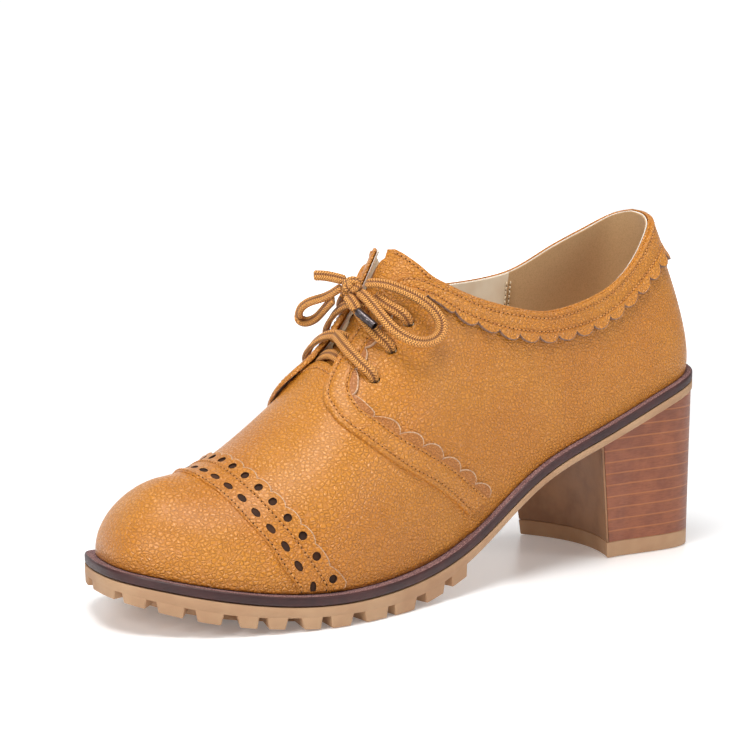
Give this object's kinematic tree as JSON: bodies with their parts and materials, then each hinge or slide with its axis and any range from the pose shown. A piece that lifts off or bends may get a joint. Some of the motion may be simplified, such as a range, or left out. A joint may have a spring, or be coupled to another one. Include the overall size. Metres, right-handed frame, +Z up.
{
  "type": "block heel shoe",
  "caption": "Lace-up leather shoe with punched and scalloped trim, a lugged rubber sole and a stacked block heel.",
  "frame": {"origin": "centre of the heel's ground face, on the floor", "axes": "+X to the toe, +Y to the shoe's outer side, +Z up"},
  "size_m": [0.24, 0.0858, 0.1257],
  "materials": {
    "leather": "pebbled tan leather, satin",
    "lace_braid": "flat braided cord, matt",
    "lining": "beige lining leather, matt",
    "welt": "dark red-brown welt, satin edge",
    "rubber": "beige crepe rubber, matt",
    "heel_stack": "brown stacked heel, satin",
    "breast_cover": "brown cover, satin",
    "aglet": "dark metal, polished"
  },
  "bodies": {
    "root": {"upper": "leather", "tongue": "leather", "insole": "lining", "welt": "welt", "outsole": "rubber", "heel_stack": "heel_stack", "heel_breast_cover": "breast_cover", "heel_top_piece": "rubber", "toe_cap_band": "leather", "toe_scallop_strip": "leather", "facing_strip_outer": "leather", "facing_strip_inner": "leather", "collar_strip": "leather", "back_tab": "leather", "lace_bar_low": "lace_braid", "lace_crossing_low": "lace_braid", "lace_crossing_middle": "lace_braid", "lace_top_outer": "lace_braid", "lace_top_inner": "lace_braid", "bow_knot": "lace_braid", "bow_loop_outer": "lace_braid", "bow_loop_inner": "lace_braid", "bow_end_outer": "lace_braid", "bow_end_inner": "lace_braid", "aglet_outer": "aglet"}
  },
  "joints": []
}
